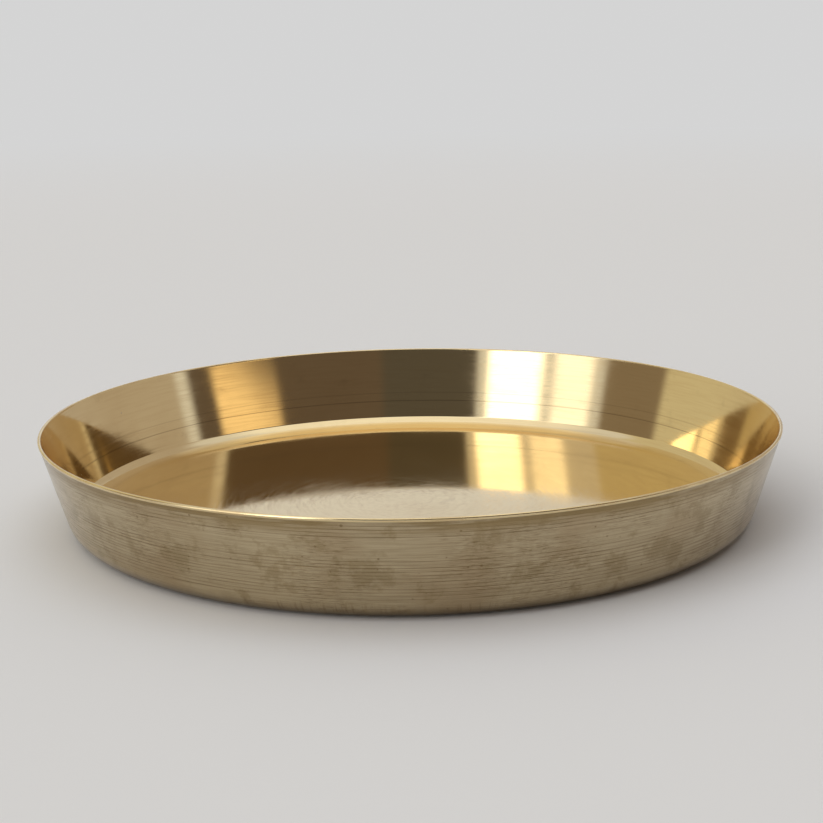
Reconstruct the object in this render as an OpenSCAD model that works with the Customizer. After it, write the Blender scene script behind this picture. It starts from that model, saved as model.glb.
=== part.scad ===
// Offering plate: a round, deep dish made from one piece of bronze and finished on a lathe.
// Z is the axis of turning. The dish stands on the plane Z = 0 with its base centred on the origin.

/* [Overall size] */
// Outside diameter across the rim
rim_d = 320; // [306:1:400]
// Height from the table to the top of the rim
plate_h = 41.5; // [34:0.5:70]
// Diameter of the flat base, where the rounded corner starts
base_d = 280; // [200:1:290]

/* [Wall and floor] */
// Outside radius of the corner between base and wall
corner_r = 10.5; // [8:0.5:12]
// Thickness of the floor
floor_t = 2.2; // [1.6:0.1:3]
// Thickness of the wall where it leaves the corner
wall_t = 1.8; // [1.4:0.1:2.4]
// Radius of the cove that lifts the edge of the floor
cove_r = 16; // [10:0.5:20]
// Height above the table of the crease where the cove meets the wall
crease_z = 6.3; // [5:0.1:7.5]

/* [Rim] */
// Diameter of the rounded bead that ends the wall
bead_d = 1.4; // [1.2:0.1:2]
// How far the bead stands proud of the outside of the wall
bead_proud = 0.2; // [0.1:0.05:0.4]

/* [Turned lines] */
// Distance between one turned line and the next
line_pitch = 1.4; // [1.2:0.1:1.5]
// Width of a turned line
line_w = 0.6; // [0.3:0.1:0.8]
// Depth of a turned line
line_deep = 0.12; // [0.05:0.01:0.2]
// Number of lines in the group under the rim
upper_lines = 4; // [1:1:5]
// Height of the topmost line below the rim
upper_drop = 3; // [2.5:0.5:5]
// Number of lines in the group around the lower wall
lower_lines = 12; // [1:1:12]
// Height of the lowest line above the table
lower_rise = 9; // [8:0.5:10]
// Number of lines inside the wall
inner_lines = 2; // [1:1:3]
// Height of the lower inside line above the table
inner_rise = 14.6; // [12:0.2:18]
// Distance between the lines inside the wall
inner_pitch = 4.2; // [2:0.2:6]

/* [Hidden] */

$fn = 128;
rim_r = rim_d / 2;
base_r = base_d / 2;
bead_r = bead_d / 2;
bead_z = plate_h - bead_r;
// Where the outside and the inside of the wall reach the level of the bead's centre
outer_top = [rim_r - bead_proud, bead_z];
inner_top = [rim_r - bead_d, bead_z];
// The outside of the wall leaves the corner's circle, and the inside one of the same centre
corner_c = [base_r, corner_r];
inside_r = corner_r - wall_t;
// The crease at the foot of the inside wall, and the centre of the cove that runs up to it
crease = wall_point(corner_c, inside_r, inner_top, crease_z);
cove_z = floor_t + cove_r;
cove_c = [crease.x - sqrt(cove_r * cove_r - (cove_z - crease_z) * (cove_z - crease_z)), cove_z];
// How far a cutting shape runs past the metal
over = 2;

// Direction of the outward normal of a wall that leaves a circle about c and reaches the point p
function wall_angle(c, r, p) = atan2(p.y - c.y, p.x - c.x) - acos(r / norm(p - c));

// Point on a circle about c, in the direction a
function on_circle(c, r, a) = c + r * [cos(a), sin(a)];

// Point at height z on the straight line of that wall
function wall_point(c, r, p, z) =
    let (start = on_circle(c, r, wall_angle(c, r, p)))
    start + (p - start) * (z - start.y) / (p.y - start.y);

// Half section of the solid outside: flat bottom, round corner and straight wall
module body_section() {
    square([corner_c.x, outer_top.y]);
    translate(corner_c) circle(corner_r);
    wall_start = on_circle(corner_c, corner_r, wall_angle(corner_c, corner_r, outer_top));
    polygon([corner_c, wall_start, outer_top, [corner_c.x, outer_top.y]]);
}

// Half section of the well: flat floor, cove, crease and straight wall, running out past the top
module well_section() {
    translate([0, floor_t]) square([cove_c.x, outer_top.y + over - floor_t]);
    intersection() {
        translate(cove_c) circle(cove_r);
        translate([cove_c.x - over, floor_t]) square([cove_r + over, crease_z - floor_t]);
    }
    top = [0, over];
    polygon([[cove_c.x, crease_z], crease, inner_top, inner_top + top, [cove_c.x, outer_top.y] + top]);
}

// Cut for one line at height z on a wall that leaves a circle of radius r and ends at the point p.
// side is 1 where the air is outside the wall and -1 where it is inside.
module line_cut(r, p, z, side) {
    a = wall_angle(corner_c, r, p);
    cut_r = (line_w * line_w / 4 + line_deep * line_deep) / (2 * line_deep);
    centre = wall_point(corner_c, r, p, z) + side * (cut_r - line_deep) * [cos(a), sin(a)];
    translate(centre) circle(cut_r, $fn = 24);
}

module dish_section() {
    difference() {
        body_section();
        well_section();
        for (i = [0:upper_lines - 1])
            line_cut(corner_r, outer_top, plate_h - upper_drop - i * line_pitch, 1);
        for (i = [0:lower_lines - 1])
            line_cut(corner_r, outer_top, lower_rise + i * line_pitch, 1);
        for (i = [0:inner_lines - 1])
            line_cut(inside_r, inner_top, inner_rise + i * inner_pitch, -1);
    }
    translate([rim_r - bead_r, bead_z]) circle(bead_r, $fn = 32);
}

// The whole dish, turned about Z
module dish() {
    color("#a8925c") rotate_extrude($fn = 180) dish_section();
}

dish();
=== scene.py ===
"""Looks of the offering plate: one dish of turned bronze, mirror polished inside, on a pale studio floor."""

import math
import random

import bpy
from mathutils import Matrix, Vector, noise


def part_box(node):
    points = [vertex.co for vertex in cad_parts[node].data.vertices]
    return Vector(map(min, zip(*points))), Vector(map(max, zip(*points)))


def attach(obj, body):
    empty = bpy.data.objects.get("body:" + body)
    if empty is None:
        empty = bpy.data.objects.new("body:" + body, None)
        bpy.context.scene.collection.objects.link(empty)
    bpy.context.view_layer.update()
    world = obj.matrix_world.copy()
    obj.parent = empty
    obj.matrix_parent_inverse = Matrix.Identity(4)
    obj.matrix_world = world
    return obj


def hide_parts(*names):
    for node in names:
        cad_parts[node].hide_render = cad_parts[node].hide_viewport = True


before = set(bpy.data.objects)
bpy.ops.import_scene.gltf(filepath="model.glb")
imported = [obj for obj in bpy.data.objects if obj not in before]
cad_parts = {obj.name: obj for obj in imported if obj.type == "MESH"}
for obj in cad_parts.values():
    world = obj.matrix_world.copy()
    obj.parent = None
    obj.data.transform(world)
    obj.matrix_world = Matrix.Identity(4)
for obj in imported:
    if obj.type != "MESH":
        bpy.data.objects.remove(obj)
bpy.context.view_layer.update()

MM = 0.001

# ---------------------------------------------------------------- dimensions, in metres
cad_low, cad_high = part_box("dish")
RIM_R = (cad_high.x - cad_low.x) / 2
HEIGHT = cad_high.z
BASE_R = 0.875 * RIM_R
CORNER_R = 10.5 * MM
FLOOR_T = 2.2 * MM
WALL_T = 1.8 * MM
COVE_R = 16 * MM
CREASE_Z = 6.3 * MM  # height of the crease between the cove and the inside of the wall
BEAD_R = 0.7 * MM
BEAD_PROUD = 0.2 * MM

LINE_PITCH = 1.4 * MM  # from one turned line to the next
UPPER_DROP = 3 * MM  # topmost turned line, below the rim
LOWER_RISE = 9 * MM  # lowest turned line, above the table
INNER_LINES = (14.6 * MM, 18.8 * MM)  # heights of the two scribed lines inside the wall
INNER_LINE_DEEP = 0.004 * MM
INNER_LINE_HALF = 0.3 * MM  # half of its width
# Turned lines: (how far below the rim this group reaches, least and greatest depth in millimetres)
DEEP_NEAR_RIM = (8 * MM, 0.08, 0.12)
DEEP_MIDDLE = (16.5 * MM, 0.015, 0.04)  # worn almost away
DEEP_LOWER = (0.065, 0.105)  # the rest of the wall

# The most by which a dish trued by hand strays from its round profile, more or less
SWAY = 0.10 * MM  # of the wall, in swellings some centimetres long
OUTER_RIPPLE = 0.016 * MM  # in ripples about a centimetre long
INNER_RIPPLE = 0.008 * MM
FLOOR_SWELL = 0.02 * MM

SEGMENTS = 360
TURNED_ZONE = 2  # the stretches of profile from this one on are outside the dish


# ---------------------------------------------------------------- profile of the dish
def wall_angle(centre, radius, top):
    """Direction of the outward normal of a wall that leaves a circle about centre and ends at top."""
    dx, dz = top[0] - centre[0], top[1] - centre[1]
    return math.atan2(dz, dx) - math.acos(radius / math.hypot(dx, dz))


def on_circle(centre, radius, angle):
    return (centre[0] + radius * math.cos(angle), centre[1] + radius * math.sin(angle))


def on_line(a, b, z):
    """Point at height z on the straight line through a and b."""
    share = (z - a[1]) / (b[1] - a[1])
    return (a[0] + (b[0] - a[0]) * share, z)


bead_z = HEIGHT - BEAD_R
outer_top = (RIM_R - BEAD_PROUD, bead_z)
inner_top = (RIM_R - 2 * BEAD_R, bead_z)
corner_c = (BASE_R, CORNER_R)
outer_psi = wall_angle(corner_c, CORNER_R, outer_top)
outer_start = on_circle(corner_c, CORNER_R, outer_psi)
inner_psi = wall_angle(corner_c, CORNER_R - WALL_T, inner_top)
inner_start = on_circle(corner_c, CORNER_R - WALL_T, inner_psi)
crease = on_line(inner_start, inner_top, CREASE_Z)
cove_z = FLOOR_T + COVE_R
cove_c = (crease[0] - math.sqrt(COVE_R**2 - (cove_z - CREASE_Z) ** 2), cove_z)
crease_angle = math.atan2(CREASE_Z - cove_z, crease[0] - cove_c[0])

# A profile is a list of (radius, height, cut). The cut is how far a worn line sinks into the metal there.


def arc(centre, radius, start, end, steps):
    angles = [start + (end - start) * i / steps for i in range(steps + 1)]
    return [(*on_circle(centre, radius, a), 0) for a in angles]


def wall_run(a, b, heights):
    """Plain points at the given heights on the wall through a and b."""
    return [(*on_line(a, b, z), 0) for z in heights]


def wall_line(a, b, z, half_width, depth):
    """Points of one shallow, rounded line around the wall through a and b, from below it to above it.

    The first and the last point lie past the line, and keep the wall beside it flat.
    """
    shape = ((-1.4, 0), (-1, 0), (-0.5, 0.55), (0, 1), (0.5, 0.55), (1, 0), (1.4, 0))
    return [(*on_line(a, b, z + offset * half_width), cut * depth) for offset, cut in shape]


def inside_profile():
    """From the middle of the floor out to the rim."""
    edge = 0.25 * MM  # clear metal kept beside the crease and the rim
    rings = 38
    floor = [(cove_c[0] * i / rings, FLOOR_T, 0) for i in range(1, rings)]
    cove = arc(cove_c, COVE_R, -math.pi / 2, crease_angle - edge / COVE_R, 14)
    wall = [(*crease, 0)] + wall_run(crease, inner_top, (CREASE_Z + edge, 9 * MM, 12 * MM))
    for z in INNER_LINES:
        wall += wall_line(crease, inner_top, z, INNER_LINE_HALF, INNER_LINE_DEEP)
    count = 9
    step = (inner_top[1] - edge - INNER_LINES[-1]) / count
    wall += wall_run(crease, inner_top, [INNER_LINES[-1] + step * (i + 1) for i in range(count)])
    return floor + cove + wall


def bead_profile():
    return arc((RIM_R - BEAD_R, bead_z), BEAD_R, math.pi, -0.35, 12)


def turned_profile(rng):
    """The outside of the wall from under the bead down, with its turned lines, and the rounded corner."""
    z = HEIGHT - UPPER_DROP
    points = wall_run(outer_start, outer_top, (HEIGHT - 1.4 * MM, z + 0.7 * MM))
    while z > LOWER_RISE - 0.1 * MM:
        from_rim = HEIGHT - z
        if from_rim < DEEP_NEAR_RIM[0]:
            depth = rng.uniform(*DEEP_NEAR_RIM[1:]) * MM
        elif from_rim < DEEP_MIDDLE[0]:
            depth = rng.uniform(*DEEP_MIDDLE[1:]) * MM
        else:
            depth = rng.uniform(*DEEP_LOWER) * MM
        here = z + rng.uniform(-0.12, 0.12) * MM
        half_width = rng.uniform(0.26, 0.36) * MM
        points += reversed(wall_line(outer_start, outer_top, here, half_width, depth))
        z -= LINE_PITCH
    return points + arc(corner_c, CORNER_R, outer_psi, -math.pi / 2, 16)


def base_profile():
    """The flat base, from just inside the corner in to the middle."""
    rings = 8
    inward = [BASE_R * (1 - i / rings) for i in range(1, rings)]
    return [(r, 0.0, 0) for r in (0.99 * BASE_R, *inward)]


def hand_finish(point, angle, outside):
    """Place of a profile point at an angle, with the small unevenness of a dish trued by hand."""
    r, z, cut = point
    x, y = r * math.cos(angle), r * math.sin(angle)
    slow = noise.noise(Vector((math.cos(angle) * 1.4, math.sin(angle) * 1.4, 5.1)))
    ripple = noise.noise(Vector((x * 110, y * 110, z * 15)))
    wear = 0.55 + 1.1 * noise.noise(Vector((math.cos(angle) * 2.6, math.sin(angle) * 2.6, z * 650)))
    if outside:
        r += (SWAY * slow + OUTER_RIPPLE * ripple) * min(1.0, z / CORNER_R)
    elif r < cove_c[0]:
        z += FLOOR_SWELL * noise.noise(Vector((x * 16, y * 16, 3.7)))
    else:
        # Nearly the same all the way up the wall, so that the wall does not tilt
        up_the_cove = min(1.0, (r - cove_c[0]) / (crease[0] - cove_c[0]))
        r += (SWAY * slow + INNER_RIPPLE * ripple) * up_the_cove
    psi, side = (outer_psi, -1) if outside else (inner_psi, 1)
    sink = cut * max(0.0, min(1.0, wear)) * side
    r += sink * math.cos(psi)
    return (r * math.cos(angle), r * math.sin(angle), z + sink * math.sin(psi))


def build_plate():
    """One closed revolved mesh. Faces carry the material of the stretch of profile they come from."""
    rng = random.Random(11)
    stretches = [inside_profile(), bead_profile(), turned_profile(rng), base_profile()]
    profile = [point for points in stretches for point in points]
    zone = [index for index, points in enumerate(stretches) for point in points]
    turns = [2 * math.pi * k / SEGMENTS for k in range(SEGMENTS)]
    verts = [hand_finish(p, a, index >= TURNED_ZONE) for p, index in zip(profile, zone) for a in turns]
    top_pole, base_pole = len(verts), len(verts) + 1
    verts += [(0, 0, FLOOR_T), (0, 0, 0)]
    faces, materials = [], []
    last = (len(profile) - 1) * SEGMENTS
    for k in range(SEGMENTS):
        n = (k + 1) % SEGMENTS
        faces.append((top_pole, k, n))
        materials.append(zone[0])
        for i in range(len(profile) - 1):
            a, b = i * SEGMENTS, (i + 1) * SEGMENTS
            faces.append((a + k, b + k, b + n, a + n))
            materials.append(zone[i])
        faces.append((last + k, base_pole, last + n))
        materials.append(zone[-1])
    mesh = bpy.data.meshes.new("plate")
    mesh.from_pydata(verts, [], faces)
    # How deep in a turned line each point lies, for the dirt and the painted shade that the lines are given
    deepest = max(point[2] for point in profile)
    shares = [point[2] / deepest if index == TURNED_ZONE else 0.0 for point, index in zip(profile, zone)]
    grooves = [share for share in shares for a in turns]
    groove = mesh.attributes.new("groove", "FLOAT", "POINT")
    groove.data.foreach_set("value", grooves + [0.0, 0.0])  # and none at the poles
    mesh.polygons.foreach_set("material_index", materials)
    mesh.polygons.foreach_set("use_smooth", [True] * len(faces))
    mesh.update()
    plate = bpy.data.objects.new("plate", mesh)
    bpy.context.scene.collection.objects.link(plate)
    return plate


# ---------------------------------------------------------------- node helpers
class Nodes:
    """Short calls for building one node tree."""

    def __init__(self, tree):
        self.tree = tree

    def add(self, kind, **settings):
        node = self.tree.nodes.new(kind)
        for key, value in settings.items():
            setattr(node, key, value)
        return node

    def feed(self, socket, value):
        if isinstance(value, bpy.types.NodeSocket):
            self.tree.links.new(value, socket)
        elif isinstance(value, (tuple, list)) and len(value) == 3 and len(socket.default_value) == 4:
            socket.default_value = (*value, 1)
        else:
            socket.default_value = value

    def math(self, operation, a, b=0.0, c=0.0):
        node = self.add("ShaderNodeMath", operation=operation)
        for socket, value in zip(node.inputs, (a, b, c)):
            self.feed(socket, value)
        return node.outputs[0]

    def mix(self, share, a, b):
        """Colour a where share is 0 and colour b where it is 1."""
        node = self.add("ShaderNodeMix", data_type="RGBA")
        self.feed(node.inputs[0], share)
        self.feed(node.inputs[6], a)
        self.feed(node.inputs[7], b)
        return node.outputs[2]

    def step(self, value, low, high, out_low=0.0, out_high=1.0):
        """Smooth rise from out_low to out_high as value goes from low to high."""
        node = self.add("ShaderNodeMapRange", interpolation_type="SMOOTHSTEP")
        self.feed(node.inputs["Value"], value)
        self.feed(node.inputs["From Min"], low)
        self.feed(node.inputs["From Max"], high)
        self.feed(node.inputs["To Min"], out_low)
        self.feed(node.inputs["To Max"], out_high)
        return node.outputs["Result"]

    def noise(self, vector, scale, detail=2.0, roughness=0.5):
        node = self.add("ShaderNodeTexNoise")
        self.feed(node.inputs["Vector"], vector)
        self.feed(node.inputs["Scale"], scale)
        self.feed(node.inputs["Detail"], detail)
        self.feed(node.inputs["Roughness"], roughness)
        return node.outputs["Fac"]

    def combine(self, x, y, z):
        node = self.add("ShaderNodeCombineXYZ")
        for socket, value in zip(node.inputs, (x, y, z)):
            self.feed(socket, value)
        return node.outputs[0]


def cylinder_coords(n):
    """Radius, angle and height of the shaded point, from its object coordinates in metres."""
    point = n.add("ShaderNodeTexCoord").outputs["Object"]
    split = n.add("ShaderNodeSeparateXYZ")
    n.feed(split.inputs[0], point)
    x, y, z = split.outputs
    radius = n.math("SQRT", n.math("ADD", n.math("MULTIPLY", x, x), n.math("MULTIPLY", y, y)))
    angle = n.math("ARCTAN2", x, n.math("MULTIPLY", y, -1))
    return point, radius, angle, z


def streaks(n, radius, angle, z, per_metre, per_turn, detail=3.0):
    """Noise drawn out around the dish, as a lathe tool or a polishing mop leaves it."""
    along = n.math("MULTIPLY", angle, per_turn / math.tau)
    across = n.math("MULTIPLY", n.math("ADD", radius, z), per_metre)
    return n.noise(n.combine(across, along, n.math("MULTIPLY", z, per_metre)), 1, detail)


def specks(n, point, per_metre, size, share):
    """1 on small round specks and 0 between them. share is how many cells hold one."""
    cells = n.add("ShaderNodeTexVoronoi", feature="F1")
    n.feed(cells.inputs["Vector"], point)
    n.feed(cells.inputs["Scale"], per_metre)
    split = n.add("ShaderNodeSeparateColor")
    n.feed(split.inputs[0], cells.outputs["Color"])
    chosen = n.math("LESS_THAN", split.outputs[0], share)
    radius = n.math("MULTIPLY", split.outputs[1], size)
    near = n.step(cells.outputs["Distance"], n.math("MULTIPLY", radius, 0.6), radius, 1, 0)
    return n.math("MULTIPLY", near, chosen)


def new_material(name):
    material = bpy.data.materials.new(name)
    material.use_nodes = True
    n = Nodes(material.node_tree)
    shader = material.node_tree.nodes["Principled BSDF"]
    shader.inputs["Metallic"].default_value = 1
    return material, n, shader


BRONZE = (0.82, 0.66, 0.38)
BRONZE_BROWN = (0.62, 0.44, 0.22)
TURNED_PALE = (0.56, 0.46, 0.30)
TURNED_WORN = (0.46, 0.37, 0.23)
STAIN_BROAD = (0.38, 0.27, 0.15)  # in patches a few centimetres across
STAIN_FINE = (0.34, 0.26, 0.14)  # in patches about a centimetre across
STAIN_RIM = (0.32, 0.23, 0.11)  # old polish under the rim
# Dark tarnish, also used as painted shade along the bottom edge and in the turned lines
TARNISH_AND_SHADE = (0.20, 0.13, 0.06)
DUST = (0.75, 0.70, 0.60)


def polished_bronze():
    material, n, shader = new_material("bronze_polished")
    point, radius, angle, z = cylinder_coords(n)
    clouds = n.noise(point, 22, 4)  # duller and brighter areas
    mop = streaks(n, radius, angle, z, 700, 40)
    colour = n.mix(n.step(clouds, 0.45, 0.75, 0, 0.25), BRONZE, BRONZE_BROWN)
    colour = n.mix(n.step(mop, 0.4, 0.7, 0, 0.18), colour, BRONZE_BROWN)
    grime = n.noise(point, 90, 5, 0.6)
    colour = n.mix(n.step(grime, 0.58, 0.85, 0, 0.2), colour, TARNISH_AND_SHADE)
    # A little dirt in the two scribed lines, and less in the upper one
    for height, half_width, share in ((INNER_LINES[0], 0.30 * MM, 0.4), (INNER_LINES[1], 0.25 * MM, 0.2)):
        off = n.math("ABSOLUTE", n.math("SUBTRACT", z, height))
        colour = n.mix(n.step(off, half_width * 0.5, half_width, share, 0), colour, TARNISH_AND_SHADE)
    dust = specks(n, point, 120, 0.05, 0.25)
    colour = n.mix(dust, colour, DUST)
    n.feed(shader.inputs["Base Color"], colour)
    polish = n.step(mop, 0.3, 0.75, 0.05, 0.10)
    polish = n.math("ADD", polish, n.step(clouds, 0.4, 0.8, 0, 0.06))
    n.feed(shader.inputs["Roughness"], n.math("MAXIMUM", polish, n.math("MULTIPLY", dust, 0.6)))
    bump = n.add("ShaderNodeBump")
    n.feed(bump.inputs["Height"], mop)
    n.feed(bump.inputs["Strength"], 0.5)
    n.feed(bump.inputs["Distance"], 0.001 * MM)
    n.feed(shader.inputs["Normal"], bump.outputs[0])
    return material


def rim_bronze():
    material, n, shader = new_material("bronze_rim")
    point = cylinder_coords(n)[0]
    worn = n.noise(point, 60, 3)
    n.feed(shader.inputs["Base Color"], n.mix(n.step(worn, 0.4, 0.7, 0, 0.5), BRONZE, BRONZE_BROWN))
    n.feed(shader.inputs["Roughness"], n.step(worn, 0.3, 0.7, 0.15, 0.3))
    return material


def turned_bronze():
    material, n, shader = new_material("bronze_turned")
    point, radius, angle, z = cylinder_coords(n)
    tool = streaks(n, radius, angle, z, 1500, 60, 4)
    colour = n.mix(n.step(tool, 0.3, 0.7), TURNED_PALE, TURNED_WORN)
    colour = n.mix(n.step(n.noise(point, 26, 5), 0.48, 0.68, 0, 0.45), colour, STAIN_BROAD)
    colour = n.mix(n.step(n.noise(point, 80, 7, 0.7), 0.51, 0.62, 0, 0.6), colour, STAIN_FINE)
    # Partly dirt and partly painted shade in the turned lines, darker where they are deeper
    groove = n.add("ShaderNodeAttribute", attribute_name="groove").outputs["Fac"]
    colour = n.mix(n.math("MULTIPLY", groove, n.step(tool, 0.3, 0.65, 0.3, 0.85)), colour, TARNISH_AND_SHADE)
    # Dirt caught in the tool marks, in patches
    dirty = n.step(n.noise(point, 36, 3), 0.46, 0.6)
    marks = streaks(n, radius, angle, z, 2200, 240, 2)
    colour = n.mix(n.math("MULTIPLY", dirty, n.step(marks, 0.52, 0.64, 0, 0.5)), colour, TARNISH_AND_SHADE)
    # Old polish caught under the rim, in patches
    under_rim = n.step(z, HEIGHT - 8 * MM, HEIGHT - 2 * MM)
    patches = n.noise(n.combine(n.math("MULTIPLY", angle, 4.0), n.math("MULTIPLY", z, 220), 0), 1, 5, 0.6)
    rim_stain = n.math("MULTIPLY", under_rim, n.step(patches, 0.38, 0.54, 0.15, 0.95))
    colour = n.mix(rim_stain, colour, STAIN_RIM)
    # Short upright nicks low on the wall, and painted shade along the bottom edge, where the corner turns
    # under towards the floor
    nicks = n.noise(n.combine(n.math("MULTIPLY", angle, 170), n.math("MULTIPLY", z, 90), 2), 1, 2)
    where = n.noise(n.combine(n.math("MULTIPLY", angle, 2.2), 7, 0), 1, 2)
    low = n.math("MULTIPLY", n.step(z, 3 * MM, 9 * MM, 1, 0), n.step(where, 0.45, 0.58, 0.1, 1))
    colour = n.mix(n.math("MULTIPLY", low, n.step(nicks, 0.52, 0.66, 0, 0.5)), colour, TARNISH_AND_SHADE)
    # Painted shade: darker towards the bottom edge, strongest just above the floor
    colour = n.mix(n.step(z, 0.3 * MM, 7 * MM, 0.85, 0), colour, TARNISH_AND_SHADE)
    pits = n.math("MAXIMUM", specks(n, point, 160, 0.15, 0.2), specks(n, point, 420, 0.26, 0.16))
    colour = n.mix(n.math("MULTIPLY", pits, 0.6), colour, TARNISH_AND_SHADE)
    n.feed(shader.inputs["Base Color"], colour)
    n.feed(shader.inputs["Roughness"], n.step(tool, 0.3, 0.7, 0.18, 0.26))
    n.feed(shader.inputs["Anisotropic"], 0.9)
    n.feed(shader.inputs["Anisotropic Rotation"], 0.25)
    tangent = n.add("ShaderNodeTangent", direction_type="RADIAL", axis="Z")
    n.feed(shader.inputs["Tangent"], tangent.outputs[0])
    bump = n.add("ShaderNodeBump")
    n.feed(bump.inputs["Height"], tool)
    n.feed(bump.inputs["Strength"], 0.5)
    n.feed(bump.inputs["Distance"], 0.012 * MM)
    n.feed(shader.inputs["Normal"], bump.outputs[0])
    return material


def base_bronze():
    material, n, shader = new_material("bronze_base")
    point, radius, angle, z = cylinder_coords(n)
    rings = streaks(n, radius, angle, z, 500, 20)
    stains = n.noise(point, 40, 5)
    colour = n.mix(n.step(rings, 0.35, 0.65, 0, 0.5), TURNED_WORN, STAIN_BROAD)
    colour = n.mix(n.step(stains, 0.4, 0.7, 0, 0.7), colour, STAIN_FINE)
    scuffed = n.step(radius, 0.93 * BASE_R, BASE_R, 0, 0.8)
    colour = n.mix(scuffed, colour, TARNISH_AND_SHADE)
    pits = specks(n, point, 300, 0.22, 0.15)
    n.feed(shader.inputs["Base Color"], n.mix(n.math("MULTIPLY", pits, 0.8), colour, TARNISH_AND_SHADE))
    n.feed(shader.inputs["Roughness"], n.step(stains, 0.3, 0.7, 0.32, 0.45))
    return material


# ---------------------------------------------------------------- studio
FLOOR_PAINT = (0.86, 0.86, 0.86)
FLOOR_REACH = 40  # metres each way
FLOOR_FADE = (0.8, 4)  # distances from the dish, in metres, over which it fades into the backdrop
BACKDROP = (0.66, 0.66, 0.66)  # near the level of the lit floor, so that the two meet without a line
PALE_WALL = (0.75, 0.76, 0.80)  # the studio wherever nothing else stands
OVERHEAD = (1.1, 1.1, 1.1)  # soft box overhead
OVERHEAD_FROM = 60  # degrees of elevation where it is at half strength
OVERHEAD_FADE = 5  # degrees either side of that
SOFT_EDGE = 2  # degrees, either side of the edge of a panel
# What stands round the dish, in degrees, the nearer things last. A bearing is 0 on the camera's side and
# positive to the right.
PANELS = [  # (bearing from, to, elevation from, to, light)
    (-165, -85, -20, 50, (0.65, 0.6, 0.45)),  # cream wall on the left
    (-100, -75, -20, 35, (0.25, 0.2, 0.15)),  # brown curtain
    (-70, -55, 0, 50, (1.7, 1.7, 1.7)),  # soft box on the left
    (-50, -30, 0, 50, (3.0, 3.0, 3.0)),  # brighter soft box beside it
    (-25, 85, -20, 55, (0.13, 0.1, 0.08)),  # brown cloth behind the camera
    (-25, 10, -20, 55, (0.1, 0.09, 0.08)),  # darker cloth over it
    (50, 75, 15, 20, (1.2, 0.9, 0.5)),  # warm lamp in front of that
    (90, 165, -20, 50, (0.5, 0.45, 0.4)),  # cream wall on the right
]


def studio_world():
    """Plain soft studio light. The camera itself sees only the pale backdrop."""
    world = bpy.data.worlds.new("studio")
    bpy.context.scene.world = world
    world.use_nodes = True
    n = Nodes(world.node_tree)
    split = n.add("ShaderNodeSeparateXYZ")
    n.feed(split.inputs[0], n.add("ShaderNodeTexCoord").outputs["Generated"])
    x, y, z = split.outputs
    bearing = n.math("MULTIPLY", n.math("ARCTAN2", x, n.math("MULTIPLY", y, -1)), 180 / math.pi)
    elevation = n.math("MULTIPLY", n.math("ARCSINE", z), 180 / math.pi)

    def between(value, low, high):
        rise = n.step(value, low - SOFT_EDGE, low + SOFT_EDGE)
        return n.math("MULTIPLY", rise, n.step(value, high - SOFT_EDGE, high + SOFT_EDGE, 1, 0))

    light = PALE_WALL
    for left, right, bottom, top, panel in PANELS:
        inside = n.math("MULTIPLY", between(bearing, left, right), between(elevation, bottom, top))
        light = n.mix(inside, light, panel)
    high = n.step(elevation, OVERHEAD_FROM - OVERHEAD_FADE, OVERHEAD_FROM + OVERHEAD_FADE)
    light = n.mix(high, light, OVERHEAD)
    seen = n.mix(n.add("ShaderNodeLightPath").outputs["Is Camera Ray"], light, BACKDROP)
    n.feed(world.node_tree.nodes["Background"].inputs["Color"], seen)


def studio_floor():
    """A pale floor that fades into the backdrop far from the dish."""
    mesh = bpy.data.meshes.new("floor")
    corners = [(x * FLOOR_REACH, y * FLOOR_REACH, 0) for x, y in ((-1, -1), (1, -1), (1, 1), (-1, 1))]
    mesh.from_pydata(corners, [], [(0, 1, 2, 3)])
    floor = bpy.data.objects.new("floor", mesh)
    bpy.context.scene.collection.objects.link(floor)
    material = bpy.data.materials.new("floor_paint")
    material.use_nodes = True
    tree = material.node_tree
    n = Nodes(tree)
    radius = cylinder_coords(n)[1]
    paint = tree.nodes["Principled BSDF"]
    n.feed(paint.inputs["Base Color"], FLOOR_PAINT)
    n.feed(paint.inputs["Roughness"], 0.9)
    n.feed(paint.inputs["Specular IOR Level"], 0)
    far = n.add("ShaderNodeEmission")
    n.feed(far.inputs["Color"], BACKDROP)
    plain = n.add("ShaderNodeMixShader")
    n.feed(plain.inputs[0], n.step(radius, *FLOOR_FADE))
    n.feed(plain.inputs[1], paint.outputs[0])
    n.feed(plain.inputs[2], far.outputs[0])
    n.feed(tree.nodes["Material Output"].inputs["Surface"], plain.outputs[0])
    mesh.materials.append(material)


# The camera looks down at the dish from the front, and is tilted to one side by about a degree
CAMERA_ELEVATION = math.radians(12.74)
CAMERA_ROLL = math.radians(-1.05)
CAMERA_DISTANCE = 4.2 * RIM_R
CAMERA_SHIFT = Vector((0.005 * RIM_R, 0, 0.2655 * RIM_R))
LENS_TO_SENSOR = 1.8524  # focal length over the width of the sensor


def studio_camera():
    data = bpy.data.cameras.new("camera")
    data.lens = LENS_TO_SENSOR * data.sensor_width
    data.clip_start = 0.01
    camera = bpy.data.objects.new("camera", data)
    bpy.context.scene.collection.objects.link(camera)
    back = Vector((0, -math.cos(CAMERA_ELEVATION), math.sin(CAMERA_ELEVATION)))
    camera.location = back * CAMERA_DISTANCE + CAMERA_SHIFT
    turn = (-back).to_track_quat("-Z", "Y").to_matrix() @ Matrix.Rotation(CAMERA_ROLL, 3, "Z")
    camera.rotation_euler = turn.to_euler()
    bpy.context.scene.camera = camera


plate = build_plate()
for make in (polished_bronze, rim_bronze, turned_bronze, base_bronze):
    plate.data.materials.append(make())
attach(plate, "root")
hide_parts("dish")

studio_world()
studio_floor()
studio_camera()
bpy.context.scene.view_settings.view_transform = "Standard"
bpy.context.scene.cycles.glossy_bounces = 12  # the ends of the wall mirror each other many times
